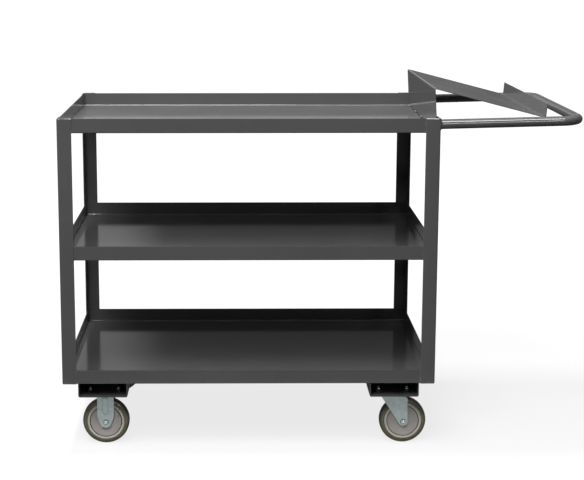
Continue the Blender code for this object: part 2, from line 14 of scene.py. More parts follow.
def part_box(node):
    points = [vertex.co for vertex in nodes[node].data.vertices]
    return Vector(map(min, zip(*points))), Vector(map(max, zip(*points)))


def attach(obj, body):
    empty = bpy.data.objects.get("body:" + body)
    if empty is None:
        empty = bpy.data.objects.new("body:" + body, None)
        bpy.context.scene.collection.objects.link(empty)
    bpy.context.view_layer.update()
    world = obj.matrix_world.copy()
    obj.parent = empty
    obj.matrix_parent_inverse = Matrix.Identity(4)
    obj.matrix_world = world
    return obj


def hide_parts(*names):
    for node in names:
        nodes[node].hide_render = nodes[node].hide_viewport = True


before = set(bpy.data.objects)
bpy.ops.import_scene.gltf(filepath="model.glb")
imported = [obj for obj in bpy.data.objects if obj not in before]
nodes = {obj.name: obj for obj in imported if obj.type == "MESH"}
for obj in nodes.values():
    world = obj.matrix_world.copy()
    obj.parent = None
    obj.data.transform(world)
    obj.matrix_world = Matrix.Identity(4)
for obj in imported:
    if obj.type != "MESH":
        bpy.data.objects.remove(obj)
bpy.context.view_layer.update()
random.seed(7)

# Camera, found by matching the frame's corners with the photograph
camera_place = (-0.2251, -3.6631, 1.3403)
camera_pitch = radians(9.483)
camera_turn = radians(-0.435)
camera_lens = 81.15
camera_shift = (0.08, -0.125)

# Floor: pairs go from the trolley outward, and oval distances are shares of floor_oval
floor_size = 60.0
floor_drop = 0.0006
floor_oval = (1.1, 0.78)
floor_share = 0.12
floor_glow = (0.80, 1.0)
glow_reach = (1.2, 3.5)
floor_grey = (0.22, 0.07)
grey_reach = (0.9, 1.6)

# Patch on the floor before the casters that glows for glosses only: painted light for the casters'
# metal to mirror
sheen_level = 0.90
sheen_outside = 0.10
sheen_front = (-0.80, -0.33)
sheen_half = 0.62
sheen_fade = (0.08, 0.06, 0.10)

# World as a light: a height is a direction's share along Z
side_light = (1.35, 0.75)
depth_light = (1.0, 0.7)
side_reach = 0.9
dome_heights = (0.15, 0.95)
dome_light = (0.05, 0.45)
fill_sides = (0.15, 0.70)
fill_heights = (0.10, 0.20)
low_fill = 1.5

# World as glosses see it
gloss_low = 0.13
gloss_band = 0.82
band_rise = (0.05, 0.11)
band_fall = (0.135, 0.175)
top_heights = (0.40, 0.90)
gloss_panel = 0.32
panel_edge = (-0.085, -0.055)
panel_rise = (0.16, 0.20)
panel_fall = (0.36, 0.40)

# Lamps: name, place, aim, width, depth, watts, and the rays that don't meet it
lamps = (
    ("overhead_strip", (-0.55, -0.97, 4.4), (-0.3, -0.5, 0.6), 5.5, 0.8, 310, "diffuse"),
    ("overhead_fill", (-0.75, 0.05, 4.4), (-0.7, 0.05, 0.6), 1.0, 0.5, 280, "glossy"),
    ("key_softbox", (-1.1, -2.2, 4.1), (-0.1, 0.0, 0.5), 2.6, 1.0, 186, None),
    ("front_fill", (-0.8, -2.85, 3.3), (-0.1, 0.0, 0.5), 1.6, 1.6, 98, "glossy"),
    ("front_line", (1.25, -3.9, 2.0), (0.45, -0.2, 0.9), 1.1, 0.25, 26, "diffuse"))

# Wheels: radii and faces, from the wheel's axis and middle plane
wheel_fit = 0.0003
bore_chamfer = 0.0006
boss_radius = 0.0126
boss_round = 0.0012
boss_foot = (0.0016, 0.0026)
ring_radius = 0.0192
ring_width = 0.0024
ring_rise = 0.0004
disc_radius = 0.0420
disc_face = 0.0145
disc_edge = 0.0003
groove_width = 0.0021
groove_depth = 0.0028
groove_slope = 0.0002
rim_face = 0.0156
rim_round = 0.0010
rim_sweep = radians(75)
rim_crown = ((0.0030, 0.0), (0.0014, 0.0003), (0.0002, 0.0008), (0.0, 0.0040))

# Tyres
tyre_root = 0.0050
tyre_drop = 0.0008
tyre_nick = (0.0002, 0.0003)
tyre_step = 0.0006
tread_half = 0.0060
mould_seam = 0.0001
mould_seam_half = (0.0005, 0.0002)

# Fasteners: a profile's points are (share of the width across flats, distance from an end)
turned_step = 0.0001
thread_pitch = 0.00125
thread_depth = 0.45 * thread_pitch
tip_depth = 1.6 * thread_depth
thread_lap = 0.0005
axle_head = 0.0053
axle_radius = 0.0039
axle_thread = 0.0070
axle_dome = ((0.10, 0.0), (0.24, 0.0002), (0.35, 0.0007), (0.43, 0.0014), (0.47, 0.0022))
axle_flange = ((0.60, 0.0012), (0.62, 0.0008), (0.62, 0.0002), (0.60, 0.0))
axle_hexagon_ends = (0.0014, 0.0008)
axle_chamfer = 0.0007
nut_flange = ((0.60, 0.0), (0.62, 0.0003), (0.62, 0.0009), (0.56, 0.0013))
nut_hexagon_ends = (0.0010, 0.0018)
nut_collar = ((0.44, 0.0020), (0.44, 0.0008), (0.40, 0.0))

# Caster plate bolts: the washer is given by its radii and heights
plate_flats = 0.0143
plate_head = 0.0060
plate_walls = 0.0071
plate_nut = 0.0068
plate_chamfer = 0.0008
plate_shank = 0.0046
plate_shank_end = 0.0050
plate_thread = 0.00465
plate_thread_lap = 0.0004
head_seat = ((0.48, 0.0009), (0.48, 0.0))
washer = ((0.0098, 0.0), (0.0102, 0.0003), (0.0102, 0.0013), (0.0098, 0.0016))

# Push handle
tube_radius = 0.0127
tube_wall = 0.0019
handle_drop = 0.0172
handle_rise = radians(1.45)
handle_bend = 0.0500

# Corner posts
post_flange = 0.0381
post_wall = 0.0027
post_fold = 0.0036
post_fold_inside = 0.0009
post_edge = 0.0010
post_corner = 0.0038
post_bevel = (0.0011, 0.0010)

# Weld beads and collars: a collar's section is (gap, share of its leg outward, share along)
weld_fit = 0.0003
weld_uneven = (0.96, 1.04)
bead_ripple = 0.0022
bead_hollow = 0.16
bead_tip = 0.35
bead_growth = 1.5
bead_run_in = 0.001
collar_leg = 0.0042
collar_hollow = 0.12
collar_waves = 14
collar_section = ((-0.0004, 0.0, 0.0), (0.0, 1.0, 0.0), (0.0, 0.80, 0.35), (0.0, 0.40, 0.80),
                  (0.0001, 0.0, 1.10), (-0.0004, 0.0, 1.05))

# Ground welds and seams of the posts
strip_low = 0.0045
strip_top = 0.0006
strip_leg = 0.0016
seam_bead = 0.0016
seam_ends = (0.0050, 0.0008)
seam_sink = 0.0002

# Stitches of the channels
stitch_places = (-0.245, -0.085, 0.085, 0.245)
stitch_half = 0.016
stitch_bead = 0.0024
stitch_sink = 0.0006

# Stitches and tacks of the writing board, from the tray's end and the board's ends
sheet_wall = 0.0019
foot_ends = (0.020, 0.150)
foot_half = 0.011
foot_bead = 0.0026
foot_offset = 0.0012
foot_lift = 0.0008
tack_places = (0.012, 0.034)
tack_span = (-0.006, 0.003)
tack_drops = (0.0064, 0.0074)
tack_out = 0.0004
tack_bead = 0.0016

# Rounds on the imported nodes' sharp edges
sheet_round = 0.0009
channel_round = 0.0008
pressed_round = 0.0005

# Angles past which an edge is shaded sharp, and past which it gets its round
smooth_angle = radians(32)
post_smooth = radians(40)
tyre_smooth = radians(50)
weld_smooth = radians(60)
sharp_edge = radians(50)

# Faces round turned, swept and folded pieces
wheel_steps = 96
bolt_steps = 24
tube_steps = 40
bend_steps = 14
shoulder_steps = 12
bead_steps = 10
ripple_steps = 4
collar_steps = 56
fold_steps = 6
corner_steps = 4
edge_steps = 3

frame_middle = sum(v.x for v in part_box("bottom_shelf")) / 2
swivels = ("swivel_front", "swivel_rear")
casters = ("rigid_front", "rigid_rear", *swivels)
levels = ("bottom_shelf", "middle_shelf", "top_shelf")
ends = ("plain_end", "handle_end")


# Shader nodes

def new_node(tree, kind, inputs=None, **settings):
    """Adds a node, gives it settings, and fills its inputs with values or links."""
    node = tree.nodes.new(kind)
    for name, value in settings.items():
        setattr(node, name, value)
    for name, value in (inputs or {}).items():
        if isinstance(value, bpy.types.NodeSocket):
            tree.links.new(value, node.inputs[name])
        else:
            node.inputs[name].default_value = value
    return node


def math_node(tree, operation, first, second=0.5):
    """The result of one sum on values or links."""
    return new_node(tree, "ShaderNodeMath", {0: first, 1: second}, operation=operation).outputs[0]


def noise(tree, coordinates, scale, detail=2.0, roughness=0.5, distortion=0.0):
    """Noise from 0 to 1 over a surface."""
    return new_node(tree, "ShaderNodeTexNoise", {
        "Vector": coordinates, "Scale": scale, "Detail": detail, "Roughness": roughness,
        "Distortion": distortion}).outputs["Fac"]


def spread(tree, value, low, high, to_low=0.0, to_high=1.0):
    """Maps a value from low..high to to_low..to_high, held at both ends."""
    return new_node(tree, "ShaderNodeMapRange", {
        "Value": value, "From Min": low, "From Max": high, "To Min": to_low,
        "To Max": to_high}).outputs["Result"]


def blend_colour(tree, mask, first, second):
    """The first colour where the mask is 0, and the second where it is 1."""
    node = new_node(tree, "ShaderNodeMix", data_type="RGBA")
    for name, value in (("Factor_Float", mask), ("A_Color", first), ("B_Color", second)):
        socket = next(s for s in node.inputs if s.identifier == name)
        if isinstance(value, bpy.types.NodeSocket):
            tree.links.new(value, socket)
        else:
            socket.default_value = value
    return next(s for s in node.outputs if s.identifier == "Result_Color")


def tint(tree, colour, mask, share, other):
    """Blends a colour to another one where the mask says so, up to a share."""
    return blend_colour(tree, math_node(tree, "MULTIPLY", mask, share), colour, other)


def white_shader(tree, kind, strength):
    """White emission or background of a given strength."""
    return new_node(tree, kind, {"Color": (1, 1, 1, 1), "Strength": strength}).outputs[0]


def mix_shaders(tree, mask, first, second):
    """The first shader where the mask is 0, and the second where it is 1."""
    return new_node(tree, "ShaderNodeMixShader", {0: mask, 1: first, 2: second}).outputs[0]


def new_group(name, inputs, outputs):
    """An empty node group whose inputs are (name, default) and whose outputs are names."""
    group = bpy.data.node_groups.new(name, "ShaderNodeTree")
    for label, default in inputs:
        socket = group.interface.new_socket(label, in_out="INPUT", socket_type="NodeSocketFloat")
        socket.default_value = default
    for label in outputs:
        group.interface.new_socket(label, in_out="OUTPUT", socket_type="NodeSocketFloat")
    return group, group.nodes.new("NodeGroupInput").outputs, group.nodes.new("NodeGroupOutput")


def use_group(tree, group, **inputs):
    """Adds a node group to a material, and gives its inputs their values."""
    node = tree.nodes.new("ShaderNodeGroup")
    node.node_tree = group
    for name, value in inputs.items():
        node.inputs[name.replace("_", " ")].default_value = value
    return node.outputs


def object_place(tree):
    """Coordinates that stay with the piece."""
    return new_node(tree, "ShaderNodeTexCoord").outputs["Object"]


def edge_wear_group():
    """Mask of worn edges: where a rounded normal leaves the true one, broken up by noise."""
    group, given, result = new_group("edge_wear", [("Width", 0.001), ("Breakup", 120.0)],
                                     ["Mask"])
    rounded = new_node(group, "ShaderNodeBevel", {"Radius": given["Width"]}, samples=4)
    flat = new_node(group, "ShaderNodeNewGeometry")
    match = new_node(group, "ShaderNodeVectorMath", {
        0: rounded.outputs["Normal"], 1: flat.outputs["True Normal"]}, operation="DOT_PRODUCT")
    edge = spread(group, match.outputs["Value"], 0.98, 0.80)
    patches = spread(group, noise(group, object_place(group), given["Breakup"], 3.0), 0.42, 0.62)
    group.links.new(math_node(group, "MULTIPLY", edge, patches), result.inputs["Mask"])
    return group


def peel_group():
    """Height of a sprayed or cast skin: soft dimples with finer grains on them."""
    group, given, result = new_group("peel", [("Dimples", 420.0), ("Grains", 1900.0)],
                                     ["Height"])
    place = object_place(group)
    dimples = noise(group, place, given["Dimples"], 2.0, 0.45)
    grains = noise(group, place, given["Grains"], 1.0)
    fine = math_node(group, "MULTIPLY", grains, 0.35)
    group.links.new(math_node(group, "ADD", dimples, fine), result.inputs["Height"])
    return group


def mottle_group():
    """Slow cloudy change over a surface, from 0 to 1, and a finer one."""
    group, given, result = new_group("mottle", [("Cloud Scale", 6.0), ("Speck Scale", 300.0)],
                                     ["Cloud", "Speck"])
    place = object_place(group)
    cloud = noise(group, place, given["Cloud Scale"], 4.0, 0.55, 0.4)
    speck = noise(group, place, given["Speck Scale"], 2.0, 0.6)
    group.links.new(spread(group, cloud, 0.32, 0.68), result.inputs["Cloud"])
    group.links.new(spread(group, speck, 0.30, 0.70), result.inputs["Speck"])
    return group


def scuff_group():
    """Mask of thin rub marks that run along X and along Y, in a few patches."""
    group, given, result = new_group("scuffs", [("Marks Scale", 30.0)], ["Mask"])
    place = object_place(group)
    marks = []
    for stretch in ((1.0, 14.0, 14.0), (14.0, 1.0, 14.0)):
        drawn = new_node(group, "ShaderNodeVectorMath", {0: place, 1: stretch},
                         operation="MULTIPLY").outputs[0]
        lines = noise(group, drawn, given["Marks Scale"], 3.0, 0.6)
        marks.append(spread(group, lines, 0.64, 0.74))
    both = math_node(group, "MAXIMUM", marks[0], marks[1])
    patches = spread(group, noise(group, place, 9.0, 2.0), 0.50, 0.66)
    group.links.new(math_node(group, "MULTIPLY", both, patches), result.inputs["Mask"])
    return group


def dust_group():
    """Mask of fine dust that lies on faces that look up, thicker in slow patches."""
    group, given, result = new_group("settled_dust", [("Patch Scale", 14.0)], ["Mask"])
    about = new_node(group, "ShaderNodeTexCoord").outputs
    up = new_node(group, "ShaderNodeSeparateXYZ", {0: about["Normal"]}).outputs["Z"]
    flat = spread(group, up, 0.55, 0.98)
    patches = spread(group, noise(group, about["Object"], given["Patch Scale"], 5.0, 0.6),
                     0.38, 0.75)
    group.links.new(math_node(group, "MULTIPLY", flat, patches), result.inputs["Mask"])
    return group


edge_wear = edge_wear_group()
peel = peel_group()
mottle = mottle_group()
scuffs = scuff_group()
dust = dust_group()


# Finishes

def new_finish(name):
    """A new material, its node tree and its main shader."""
    material = bpy.data.materials.new(name)
    material.use_nodes = True
    return material, material.node_tree, material.node_tree.nodes["Principled BSDF"]


def set_bump(tree, shader, height, strength, distance):
    """Lets a height disturb the shader's normal."""
    bump = new_node(tree, "ShaderNodeBump", {
        "Height": height, "Strength": strength, "Distance": distance})
    tree.links.new(bump.outputs["Normal"], shader.inputs["Normal"])


def clouds_with_specks(tree, clouds, specks):
    """One tone from 0 to 1, with specks as its share and clouds as the rest."""
    tone = math_node(tree, "MULTIPLY_ADD", clouds["Speck"], specks)
    tree.links.new(math_node(tree, "MULTIPLY", clouds["Cloud"], 1 - specks), tone.node.inputs[2])
    return tone


def powder_coat(name, dark, light, worn, smooth, rough):
    """Satin powder coat: dimpled skin, slow clouds of tone, lighter edges, faint rub marks."""
    material, tree, shader = new_finish(name)
    clouds = use_group(tree, mottle, Cloud_Scale=5.0, Speck_Scale=700.0)
    worn_edge = use_group(tree, edge_wear, Width=0.0011, Breakup=90.0)["Mask"]
    rubbed = use_group(tree, scuffs, Marks_Scale=26.0)["Mask"]
    dusty = use_group(tree, dust, Patch_Scale=11.0)["Mask"]
    colour = blend_colour(tree, clouds_with_specks(tree, clouds, 0.35), dark, light)
    colour = tint(tree, colour, worn_edge, 0.55, worn)
    colour = tint(tree, colour, dusty, 0.06, worn)
    tree.links.new(colour, shader.inputs["Base Color"])
    skin = math_node(tree, "ADD", spread(tree, clouds["Cloud"], 0, 1, smooth, rough),
                     math_node(tree, "MULTIPLY", dusty, 0.04))
    gloss = math_node(tree, "SUBTRACT", skin, math_node(tree, "MULTIPLY", rubbed, 0.03))
    tree.links.new(gloss, shader.inputs["Roughness"])
    height = use_group(tree, peel, Dimples=380.0, Grains=1700.0)["Height"]
    set_bump(tree, shader, height, 0.04, 0.00008)
    return material


def zinc_plate(name, metal, grey, pale, smooth, rough):
    """Blue passivated zinc: fine spangle, drawing lines from the press, dull handled patches."""
    material, tree, shader = new_finish(name)
    shader.inputs["Metallic"].default_value = metal
    clouds = use_group(tree, mottle, Cloud_Scale=85.0, Speck_Scale=520.0)
    rubbed = use_group(tree, scuffs, Marks_Scale=75.0)["Mask"]
    worn_edge = use_group(tree, edge_wear, Width=0.0009, Breakup=150.0)["Mask"]
    colour = blend_colour(tree, clouds_with_specks(tree, clouds, 0.45), grey, pale)
    colour = tint(tree, colour, worn_edge, 0.45, (0.78, 0.80, 0.79, 1))
    tree.links.new(colour, shader.inputs["Base Color"])
    skin = spread(tree, clouds["Cloud"], 0, 1, smooth, rough)
    gloss = math_node(tree, "ADD", skin, math_node(tree, "MULTIPLY", rubbed, 0.12))
    tree.links.new(gloss, shader.inputs["Roughness"])
    height = use_group(tree, peel, Dimples=700.0, Grains=2600.0)["Height"]
    set_bump(tree, shader, height, 0.16, 0.00015)
    return material


def bright_steel(name):
    """Ground bearing steel, with fine lines and a thin film of grease."""
    material, tree, shader = new_finish(name)
    shader.inputs["Metallic"].default_value = 1.0
    clouds = use_group(tree, mottle, Cloud_Scale=90.0, Speck_Scale=900.0)
    colour = blend_colour(tree, clouds["Cloud"], (0.42, 0.41, 0.38, 1), (0.60, 0.60, 0.60, 1))
    tree.links.new(colour, shader.inputs["Base Color"])
    tree.links.new(spread(tree, clouds["Speck"], 0, 1, 0.18, 0.30), shader.inputs["Roughness"])
    height = use_group(tree, peel, Dimples=1500.0, Grains=4000.0)["Height"]
    set_bump(tree, shader, height, 0.10, 0.0001)
    return material


def moulded_plastic(name, deep, bright, smooth, rough):
    """Filled nylon from a mould: speckled, slightly waxy, rubbed on its edges."""
    material, tree, shader = new_finish(name)
    clouds = use_group(tree, mottle, Cloud_Scale=70.0, Speck_Scale=950.0)
    worn_edge = use_group(tree, edge_wear, Width=0.0008, Breakup=160.0)["Mask"]
    colour = blend_colour(tree, clouds_with_specks(tree, clouds, 0.6), deep, bright)
    colour = tint(tree, colour, worn_edge, 0.35, (0.50, 0.48, 0.46, 1))
    tree.links.new(colour, shader.inputs["Base Color"])
    tree.links.new(spread(tree, clouds["Speck"], 0, 1, smooth, rough),
                   shader.inputs["Roughness"])
    height = use_group(tree, peel, Dimples=900.0, Grains=3200.0)["Height"]
    set_bump(tree, shader, height, 0.20, 0.00018)
    return material


def tyre_rubber(name):
    """Olive polyurethane: glossy cast skin, darker toward the running surface as painted shade on
    its round shoulder, a little grit.
    """
    material, tree, shader = new_finish(name)
    clouds = use_group(tree, mottle, Cloud_Scale=55.0, Speck_Scale=600.0)
    part = new_node(tree, "ShaderNodeSeparateXYZ", {0: object_place(tree)}).outputs
    across = math_node(tree, "MULTIPLY", part["X"], part["X"])
    upward = math_node(tree, "MULTIPLY", part["Z"], part["Z"])
    radius = math_node(tree, "SQRT", math_node(tree, "ADD", across, upward))
    running = spread(tree, radius, 0.0575, 0.0630)
    colour = blend_colour(tree, clouds["Cloud"], (0.085, 0.079, 0.045, 1),
                          (0.145, 0.135, 0.080, 1))
    # Painted shade: the tyre darkens to near black over its outer shoulder; the same mask also
    # makes it rougher and gritty there
    colour = tint(tree, colour, running, 0.85, (0.020, 0.019, 0.014, 1))
    grit = math_node(tree, "MULTIPLY", clouds["Speck"], running)
    colour = tint(tree, colour, grit, 0.22, (0.16, 0.15, 0.13, 1))
    tree.links.new(colour, shader.inputs["Base Color"])
    skin = spread(tree, running, 0, 1, 0.20, 0.52)
    gloss = math_node(tree, "ADD", skin, math_node(tree, "MULTIPLY", clouds["Speck"], 0.08))
    tree.links.new(gloss, shader.inputs["Roughness"])
    height = use_group(tree, peel, Dimples=300.0, Grains=1500.0)["Height"]
    set_bump(tree, shader, height, 0.18, 0.0002)
    return material


grey_paint = powder_coat("grey_powder_coat", (0.054, 0.054, 0.055, 1), (0.062, 0.062, 0.063, 1),
                         (0.150, 0.150, 0.152, 1), 0.10, 0.125)
# Channel coat: the frame's grey powder coat, painted far darker and rougher as shade under the
# bottom shelf
channel_painted_shade = powder_coat("channel_coat_painted_shade", (0.022, 0.022, 0.023, 1),
                            (0.034, 0.034, 0.035, 1), (0.080, 0.080, 0.082, 1), 0.36, 0.46)
zinc = zinc_plate("zinc_plate", 0.5, (0.31, 0.39, 0.39, 1), (0.53, 0.60, 0.58, 1), 0.32, 0.44)
bright_zinc = zinc_plate("bright_zinc", 0.9, (0.58, 0.64, 0.65, 1), (0.74, 0.78, 0.78, 1),
                         0.22, 0.32)
# Dark zinc: zinc painted nearly black as shade, for the plate bolts inside the channels and the
# flange round each axle bolt head
zinc_painted_shade = zinc_plate("zinc_painted_shade", 0.9, (0.08, 0.09, 0.09, 1), (0.15, 0.16, 0.16, 1), 0.30, 0.42)
burnished_zinc = zinc_plate("burnished_zinc", 1.0, (0.50, 0.54, 0.55, 1), (0.68, 0.72, 0.73, 1),
                            0.13, 0.19)
steel = bright_steel("bearing_steel")
disc_plastic = moulded_plastic("hub_plastic", (0.335, 0.305, 0.290, 1), (0.42, 0.39, 0.37, 1),
                               0.42, 0.56)
rim_plastic = moulded_plastic("rim_plastic", (0.46, 0.44, 0.385, 1), (0.58, 0.555, 0.50, 1),
                              0.26, 0.34)
# The groove's plastic is painted near black as the shade inside the groove
groove_painted_shade = moulded_plastic("groove_shade", (0.008, 0.007, 0.007, 1),
                                 (0.020, 0.018, 0.017, 1), 0.6, 0.7)
tyre = tyre_rubber("olive_tyre")


# Meshes

def new_piece(name, bm, finishes, body, smooth=smooth_angle):
    """Turns a mesh in the making into a piece that rides on a body."""
    bmesh.ops.recalc_face_normals(bm, faces=bm.faces)
    mesh = bpy.data.meshes.new(name)
    bm.to_mesh(mesh)
    bm.free()
    mesh.shade_smooth()
    mesh.set_sharp_from_angle(angle=smooth)
    for finish in finishes:
        mesh.materials.append(finish)
    piece = bpy.data.objects.new(name, mesh)
    bpy.context.scene.collection.objects.link(piece)
    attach(piece, body)
    return piece


def move_piece(piece, place):
    """Puts a piece made about its own origin at its place, before it is posed."""
    piece.matrix_world = Matrix.Translation(place)


def join_rings(bm, first, second):
    """Fills the band between two rings of corners, and returns its faces."""
    count = len(first)
    faces = []
    for k in range(count):
        j = (k + 1) % count
        faces.append(bm.faces.new((first[k], first[j], second[j], second[k])))
    return faces


def join_all(bm, rings):
    """Fills the bands between each ring and the next one."""
    for first, second in zip(rings, rings[1:]):
        join_rings(bm, first, second)


def close_stack(bm, rings):
    """Joins a stack of rings and closes its two ends."""
    join_all(bm, rings)
    bm.faces.new(rings[0])
    bm.faces.new(rings[-1])


def turn_profile(bm, profile, steps, slots=None):
    """Turns a closed profile of (radius, y) about Y. slots gives each side's finish number."""
    rings = []
    for k in range(steps):
        angle = 2 * pi * k / steps
        rings.append([bm.verts.new((r * cos(angle), y, r * sin(angle))) for r, y in profile])
    for here, there in zip(rings, rings[1:] + rings[:1]):
        for i, face in enumerate(join_rings(bm, here, there)):
            face.material_index = slots[i] if slots else 0


def turn_stack(bm, profile):
    """Turns an open profile of (radius, z) about Z and closes both ends with a face."""
    rings = []
    for radius, z in profile:
        angles = [2 * pi * k / bolt_steps for k in range(bolt_steps)]
        rings.append([bm.verts.new((radius * cos(a), radius * sin(a), z)) for a in angles])
    close_stack(bm, rings)


def tube_rings(bm, path, radii, steps):
    """Rings of corners round a path and square to it, with a radius for each point."""
    rings = []
    for i, (here, radius) in enumerate(zip(path, radii)):
        before = path[max(i - 1, 0)]
        after = path[min(i + 1, len(path) - 1)]
        ahead = (after - before).normalized()
        side = ahead.cross(Vector((0, 0, 1))).normalized()
        up = side.cross(ahead).normalized()
        angles = [2 * pi * k / steps for k in range(steps)]
        rings.append([bm.verts.new(here + side * radius * cos(a) + up * radius * sin(a))
                      for a in angles])
    return rings


def mirrored(half):
    """Both faces of a turned piece, from (radius, y) of its +Y face read outward."""
    return half + [(r, -y) for r, y in reversed(half)]


def arc_points(centre_r, centre_y, radius, start, end, steps):
    """Points of (radius, y) along an arc, for a profile."""
    angles = [start + (end - start) * k / steps for k in range(steps + 1)]
    return [(centre_r + radius * cos(a), centre_y + radius * sin(a)) for a in angles]


def second_finish(bm, start):
    """Gives the piece's second finish to every face from number start on."""
    bm.faces.ensure_lookup_table()
    for face in bm.faces[start:]:
        face.material_index = 1


def size_of(node):
    """Middle and size of a node's box."""
    low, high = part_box(node)
    return (low + high) / 2, high - low


# Wheels

def body_of(caster, part):
    """The body that a caster's wheel or fork belongs to."""
    if part == "wheel":
        return f"{caster}_wheel"
    return f"{caster}_fork" if caster in swivels else "frame"


def wheel_face(bore, hub, rim):
    """Outline of the +Y face from bore to rim, and its first points in the groove and rim."""
    half = [(bore, hub - bore_chamfer), (bore + bore_chamfer, hub)]
    half += arc_points(boss_radius, hub - boss_round, boss_round, pi / 2, 0, edge_steps)
    half += [(boss_radius + boss_foot[0], disc_face + ring_rise),
             (boss_radius + boss_foot[1], disc_face),
             (ring_radius, disc_face),
             (ring_radius + ring_rise, disc_face + ring_rise),
             (ring_radius + ring_width - ring_rise, disc_face + ring_rise),
             (ring_radius + ring_width, disc_face),
             (disc_radius - disc_edge, disc_face),
             (disc_radius, disc_face - disc_edge)]
    groove_point = len(half)
    groove_outer = disc_radius + groove_width
    half += [(disc_radius + groove_slope, disc_face - groove_depth),
             (groove_outer - groove_slope, disc_face - groove_depth)]
    rim_point = len(half)
    half += arc_points(groove_outer + rim_round, rim_face - rim_round, rim_round, pi,
                       rim_sweep, corner_steps)
    half += [(rim - back, rim_face - drop) for back, drop in rim_crown]
    return half, groove_point, rim_point


def build_wheel_core(caster):
    """Hub with its bored boss, flat disc, round groove painted near black as shade, and crowned
    rim band.
    """
    centre, size = size_of(f"{caster}_wheel_core")
    bore = size_of(f"{caster}_axle_bush")[1].z / 2 + wheel_fit
    half, groove_point, rim_point = wheel_face(bore, size.y / 2, size.z / 2)
    profile = mirrored(half)
    count = len(half)
    slots = []
    for i in range(len(profile)):
        k = i if i < count else 2 * count - 2 - i
        slots.append(0 if k < groove_point - 1 else 1 if k < rim_point else 2)
    bm = bmesh.new()
    turn_profile(bm, profile, wheel_steps, slots)
    piece = new_piece(f"{caster}_hub_and_rim", bm, [disc_plastic, groove_painted_shade, rim_plastic],
                      body_of(caster, "wheel"))
    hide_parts(f"{caster}_wheel_core")
    move_piece(piece, centre)


def build_tyre(caster):
    """Cast tyre: flush with the rim, then one long round shoulder to the running surface."""
    centre, size = size_of(f"{caster}_wheel_tread")
    outer = size.z / 2
    band = outer - mould_seam
    seat = size_of(f"{caster}_wheel_core")[1].z / 2 + wheel_fit
    face = rim_face - tyre_drop
    foot = seat + tyre_step
    half = [(seat, rim_face - tyre_root), (seat + tyre_nick[0], face - tyre_nick[1])]
    for k in range(shoulder_steps + 1):
        angle = pi / 2 * k / shoulder_steps
        half.append((foot + (band - mould_seam - foot) * sin(angle),
                     tread_half + (face - tread_half) * cos(angle)))
    half += [(band, tread_half / 2), (band, mould_seam_half[0]), (outer, mould_seam_half[1])]
    bm = bmesh.new()
    turn_profile(bm, mirrored(half), wheel_steps)
    piece = new_piece(f"{caster}_tyre", bm, [tyre], body_of(caster, "wheel"),
                      smooth=tyre_smooth)
    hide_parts(f"{caster}_wheel_tread")
    move_piece(piece, centre)


# Fasteners

def hexagon_prism(bm, flats, low, high, chamfer):
    """A hexagon about Z whose corners are turned down at both ends."""
    side = flats / 2
    corner = flats / sqrt(3)
    turned = side + turned_step
    rings = []
    for z, reach in ((low, turned), (low + chamfer, corner), (high - chamfer, corner),
                     (high, turned)):
        rings.append([bm.verts.new((r * cos(pi * k / 6), r * sin(pi * k / 6), z))
                      for k, r in enumerate((reach, side) * 6)])
    close_stack(bm, rings)


def threaded_end(bm, radius, low, high):
    """Ridges of a bolt thread, with a chamfered tip at the high end."""
    profile = [(radius - thread_depth, low)]
    z = low
    while z + thread_pitch < high - thread_pitch / 2:
        profile += [(radius, z + thread_pitch / 2), (radius - thread_depth, z + thread_pitch)]
        z += thread_pitch
    profile.append((radius - tip_depth, high))
    turn_stack(bm, profile)


def place_on_axle(caster, node, bm, name, finishes):
    """Turns a fastener from Z to the wheel's axis, and puts it where its node is."""
    bmesh.ops.transform(bm, verts=bm.verts, matrix=Matrix.Rotation(-pi / 2, 4, "X"))
    piece = new_piece(name, bm, finishes, body_of(caster, "fork"))
    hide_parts(node)
    move_piece(piece, size_of(node)[0])


def axle_sizes(node):
    """Width across flats, and the two ends, of a fastener on an axle."""
    size = size_of(node)[1]
    return max(size.x, size.z) * cos(pi / 6), -size.y / 2, size.y / 2


def build_axle_bolt(caster):
    """Hexagon axle bolt with a domed crown and a pressed flange, through both fork legs."""
    node = f"{caster}_axle_bolt"
    flats, front, back = axle_sizes(node)
    under = front + axle_head
    bm = bmesh.new()
    turn_stack(bm, [(flats * share, front + drop) for share, drop in axle_dome])
    hexagon_prism(bm, flats, front + axle_hexagon_ends[0], under - axle_hexagon_ends[1],
                  axle_chamfer)
    head_faces = len(bm.faces)
    turn_stack(bm, [(flats * share, under - rise) for share, rise in axle_flange])
    # The flange takes the dark zinc, a painted shade ring round the head
    second_finish(bm, head_faces)
    turn_stack(bm, [(axle_radius, front + axle_head / 2),
                    (axle_radius, back - axle_thread + thread_lap)])
    threaded_end(bm, axle_radius, back - axle_thread, back)
    place_on_axle(caster, node, bm, f"{caster}_axle_hex_bolt", [burnished_zinc, zinc_painted_shade])


def build_axle_nut(caster):
    """Lock nut with its flange and nylon collar."""
    node = f"{caster}_axle_nut"
    flats, low, high = axle_sizes(node)
    bm = bmesh.new()
    turn_stack(bm, [(flats * share, low + rise) for share, rise in nut_flange])
    hexagon_prism(bm, flats, low + nut_hexagon_ends[0], high - nut_hexagon_ends[1],
                  axle_chamfer)
    turn_stack(bm, [(flats * share, high - drop) for share, drop in nut_collar])
    place_on_axle(caster, node, bm, f"{caster}_axle_lock_nut", [bright_zinc])


